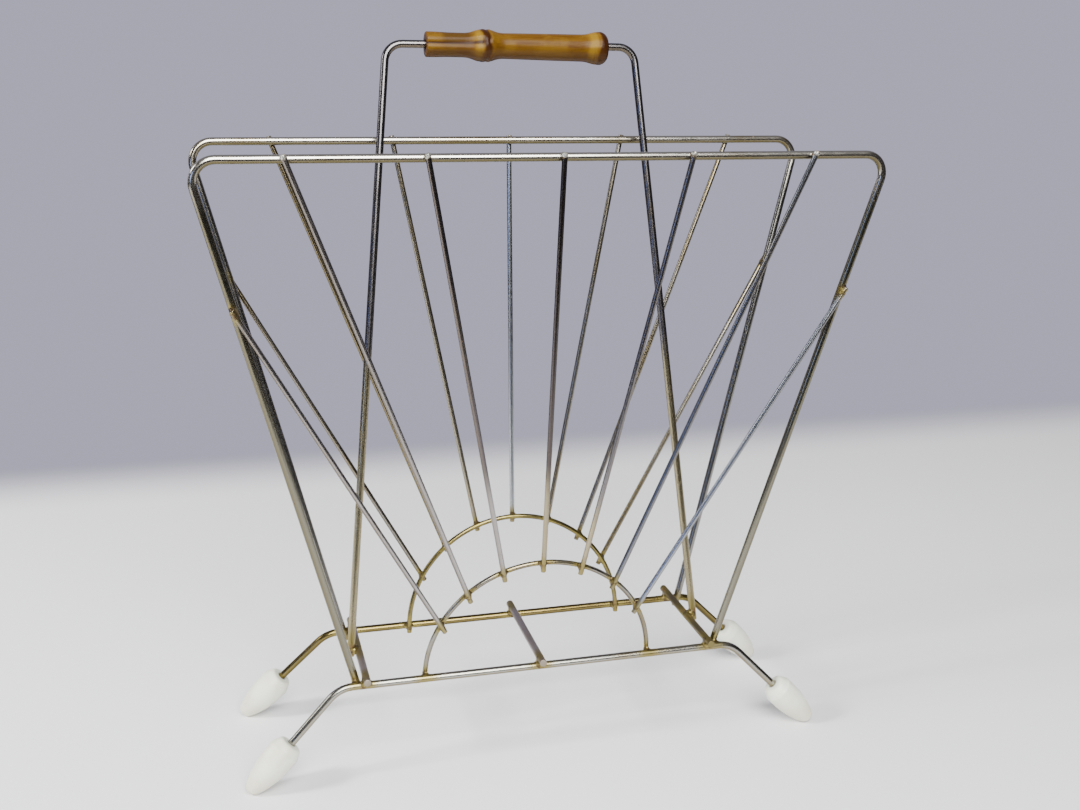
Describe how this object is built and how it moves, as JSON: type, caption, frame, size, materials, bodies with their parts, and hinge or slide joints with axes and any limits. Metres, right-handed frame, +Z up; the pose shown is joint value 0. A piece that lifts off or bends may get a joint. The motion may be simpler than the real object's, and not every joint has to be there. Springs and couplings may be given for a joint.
{
  "type": "magazine rack",
  "caption": "Wire magazine rack with fanned wire panels on splayed legs with plastic tips, and a tall carrying handle with a bamboo grip.",
  "frame": {"origin": "on the floor, midway between the four feet", "axes": "+Z up; X runs along the rack, the long way of its top rails; Y runs from the front panel to the back panel, and the handle leans towards +Y"},
  "size_m": [0.3978, 0.1337, 0.4465],
  "materials": {
    "plated_wire": "tarnished bright plating over steel wire, with a warm golden bloom and a few rust specks",
    "brass": "rough brazed fillets, dulled and flecked with rust",
    "bamboo": "varnished honey-coloured bamboo, scorched dark at the node and at the root end",
    "plastic": "aged cream plastic, slightly translucent, satin"
  },
  "bodies": {
    "rack": {"handle_rod": "plated_wire", "cross_wire_left": "plated_wire", "cross_wire_middle": "plated_wire", "cross_wire_right": "plated_wire", "base_rail_front": "plated_wire", "foot_front_left": "plastic", "foot_front_right": "plastic", "side_frame_front": "plated_wire", "arch_front": "plated_wire", "spoke_front_1": "plated_wire", "spoke_front_2": "plated_wire", "spoke_front_3": "plated_wire", "spoke_front_4": "plated_wire", "spoke_front_5": "plated_wire", "spoke_front_6": "plated_wire", "spoke_front_7": "plated_wire", "braze_base_front": "brass", "braze_arch_front": "brass", "braze_legs_front": "brass", "braze_top_rail_front": "brass", "base_rail_back": "plated_wire", "foot_back_left": "plastic", "foot_back_right": "plastic", "side_frame_back": "plated_wire", "arch_back": "plated_wire", "spoke_back_1": "plated_wire", "spoke_back_2": "plated_wire", "spoke_back_3": "plated_wire", "spoke_back_4": "plated_wire", "spoke_back_5": "plated_wire", "spoke_back_6": "plated_wire", "spoke_back_7": "plated_wire", "braze_base_back": "brass", "braze_arch_back": "brass", "braze_legs_back": "brass", "braze_top_rail_back": "brass", "braze_handle": "brass"},
    "grip": {"bamboo_grip": "bamboo"}
  },
  "joints": [
    {"name": "grip_spin", "type": "hinge", "parent": "rack", "child": "grip", "pos_m": [0.00265, 0.057, 0.437], "axis": [1, 0, 0], "continuous": true}
  ]
}
